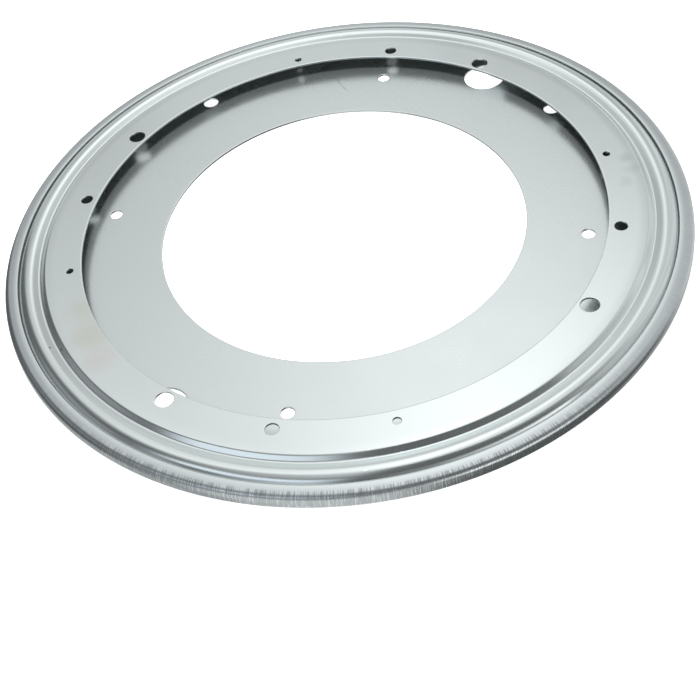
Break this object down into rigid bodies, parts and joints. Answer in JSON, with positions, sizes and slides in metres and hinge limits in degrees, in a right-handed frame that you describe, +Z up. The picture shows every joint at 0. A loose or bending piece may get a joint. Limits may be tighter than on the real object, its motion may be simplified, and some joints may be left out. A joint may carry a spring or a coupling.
{
  "type": "lazy susan bearing",
  "caption": "Round pressed-steel turntable bearing: a drilled upper ring turns on caged balls inside the rolled rim of a drilled lower plate with a wide centre opening.",
  "frame": {"origin": "centre of the underside, on the turning axis", "axes": "+Z up along the turning axis towards the tray face; +X through one of the lower plate's inner screw holes"},
  "size_m": [0.3048, 0.3048, 0.0079],
  "materials": {
    "lower_plate_steel": "zinc-plated pressed sheet steel, satin with a soft mirror",
    "upper_ring_steel": "zinc-plated pressed sheet steel, satin with a soft mirror",
    "retainer_nylon": "natural moulded nylon",
    "ball_steel": "polished bearing steel"
  },
  "bodies": {
    "base": {"lower_plate": "lower_plate_steel"},
    "turntable": {"upper_ring": "upper_ring_steel"},
    "ball_set": {"ball_retainer": "retainer_nylon", "ball_01": "ball_steel", "ball_02": "ball_steel", "ball_03": "ball_steel", "ball_04": "ball_steel", "ball_05": "ball_steel", "ball_06": "ball_steel", "ball_07": "ball_steel", "ball_08": "ball_steel", "ball_09": "ball_steel", "ball_10": "ball_steel", "ball_11": "ball_steel", "ball_12": "ball_steel", "ball_13": "ball_steel", "ball_14": "ball_steel", "ball_15": "ball_steel", "ball_16": "ball_steel", "ball_17": "ball_steel", "ball_18": "ball_steel", "ball_19": "ball_steel", "ball_20": "ball_steel", "ball_21": "ball_steel", "ball_22": "ball_steel", "ball_23": "ball_steel", "ball_24": "ball_steel", "ball_25": "ball_steel", "ball_26": "ball_steel", "ball_27": "ball_steel", "ball_28": "ball_steel", "ball_29": "ball_steel", "ball_30": "ball_steel", "ball_31": "ball_steel", "ball_32": "ball_steel", "ball_33": "ball_steel", "ball_34": "ball_steel", "ball_35": "ball_steel", "ball_36": "ball_steel", "ball_37": "ball_steel", "ball_38": "ball_steel", "ball_39": "ball_steel", "ball_40": "ball_steel", "ball_41": "ball_steel", "ball_42": "ball_steel", "ball_43": "ball_steel", "ball_44": "ball_steel", "ball_45": "ball_steel", "ball_46": "ball_steel", "ball_47": "ball_steel", "ball_48": "ball_steel"}
  },
  "joints": [
    {"name": "turntable_spin", "type": "hinge", "parent": "base", "child": "turntable", "pos_m": [0, 0, 0], "axis": [0, 0, 1], "continuous": true},
    {"name": "ball_set_orbit", "type": "hinge", "parent": "base", "child": "ball_set", "pos_m": [0, 0, 0], "axis": [0, 0, 1], "continuous": true}
  ],
  "couplings": [
    {"joint": "ball_set_orbit", "follows": "turntable_spin", "ratio": 0.5}
  ]
}
